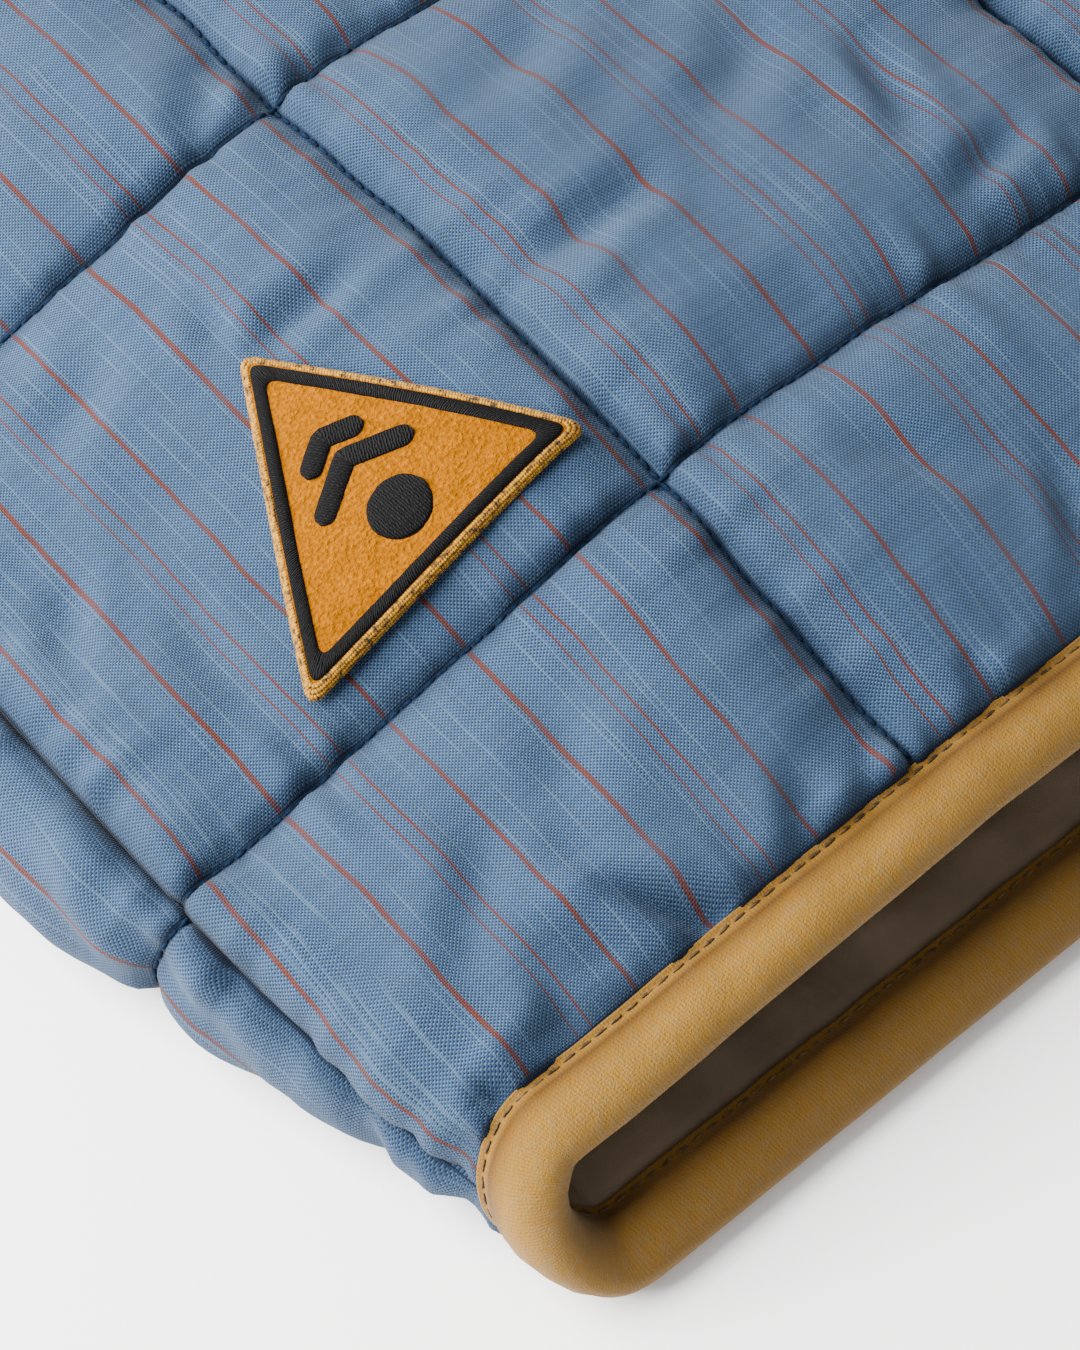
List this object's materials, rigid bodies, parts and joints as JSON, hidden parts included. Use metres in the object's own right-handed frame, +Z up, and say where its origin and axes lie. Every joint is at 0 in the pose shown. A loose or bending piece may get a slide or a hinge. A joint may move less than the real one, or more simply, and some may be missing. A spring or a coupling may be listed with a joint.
{
  "type": "padded vest",
  "caption": "Quilted padded vest with rolled edge tape, plain lining and a triangular felt patch, laid flat on its back and open at the front.",
  "frame": {"origin": "middle of the laid vest's box, on the surface it lies on", "axes": "+Z up off the surface, +Y from the hem to the neck, -X towards the wearer's right side"},
  "size_m": [0.5306, 0.6536, 0.0491],
  "materials": {
    "shell": "matt slubbed plain weave with rust pinstripes",
    "lining": "thin satiny plain weave",
    "binding": "brushed cotton tape with a dusty nap",
    "patch": "felt with an embroidered edge"
  },
  "bodies": {
    "root": {"back": "shell", "front_right": "shell", "front_left": "shell", "lining_back": "lining", "lining_front_right": "lining", "lining_front_left": "lining", "hem_binding": "binding", "neck_binding": "binding", "armhole_binding_right": "binding", "armhole_binding_left": "binding", "front_binding_right": "binding", "front_binding_left": "binding", "patch": "patch"}
  },
  "joints": []
}
